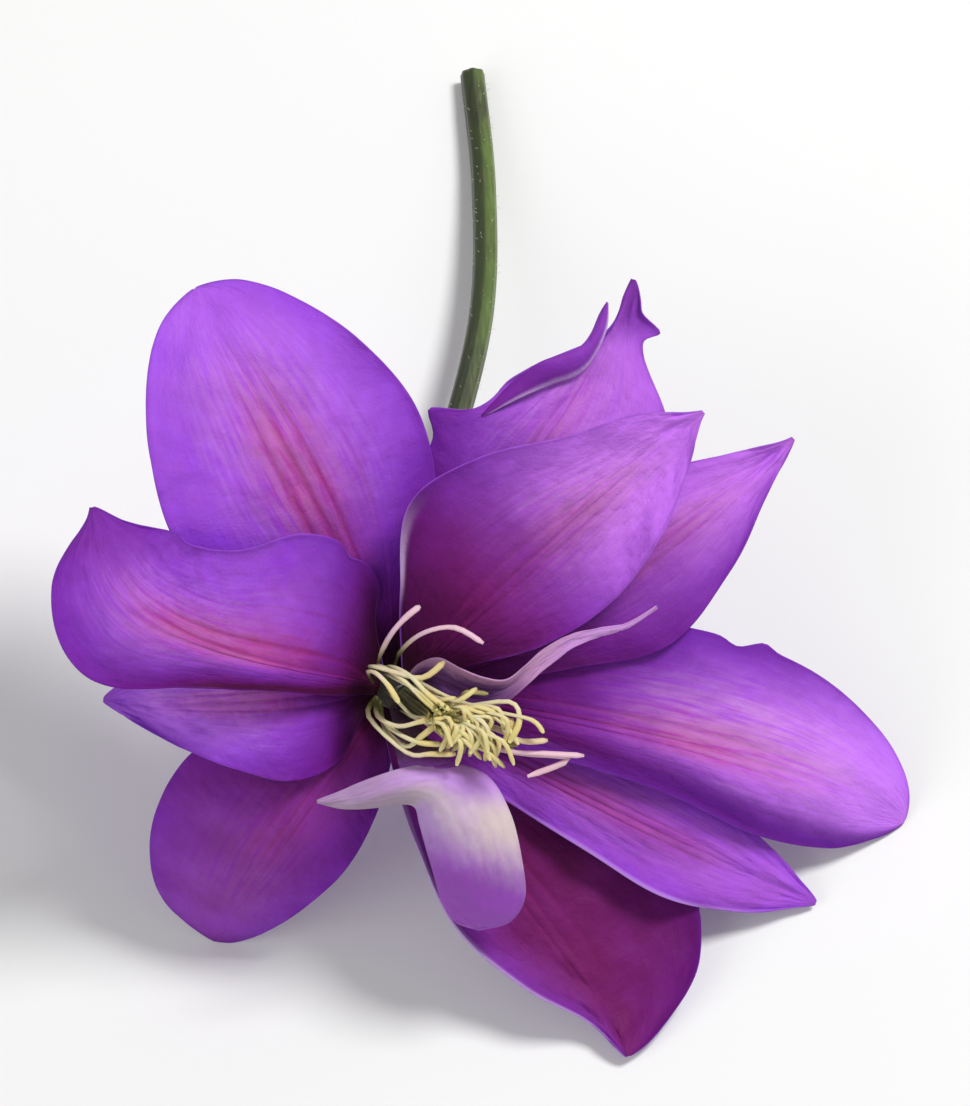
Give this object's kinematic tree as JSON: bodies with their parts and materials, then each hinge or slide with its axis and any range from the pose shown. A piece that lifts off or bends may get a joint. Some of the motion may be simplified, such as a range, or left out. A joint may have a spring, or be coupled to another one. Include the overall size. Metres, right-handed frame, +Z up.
{
  "type": "clematis flower",
  "caption": "Large semi-double violet clematis bloom on a short cut stem, lying face up and tilted, with overlapping petals, pale petaloids and a tuft of stamens.",
  "frame": {"origin": "centre of the bottom of the bounding box, on the table under the flower", "axes": "+Z up, +Y along the stem away from the bloom's face, +X to the right of the face seen from above with the stem at the top"},
  "size_m": [0.1158, 0.1517, 0.0623],
  "materials": {
    "petal": "violet petal with a magenta bar, softly satin",
    "petaloid": "pale lilac petaloid, softly satin",
    "stamen": "cream stamens, matte",
    "pistil": "yellow-green styles, matte",
    "stem": "green herbaceous stem, finely hairy"
  },
  "bodies": {
    "root": {"petal_outer_lower_middle": "petal", "petal_outer_lower_left": "petal", "petal_outer_lower_right": "petal", "petal_outer_left": "petal", "petal_outer_top": "petal", "petal_outer_upper_left": "petal", "petal_inner_right": "petal", "petal_outer_upper_right": "petal", "petal_inner_left": "petal", "petal_inner_upper_right": "petal", "petaloid_lower": "petaloid", "petaloid_right": "petaloid", "stamens": "stamen", "pistil": "pistil", "stem": "stem"}
  },
  "joints": []
}
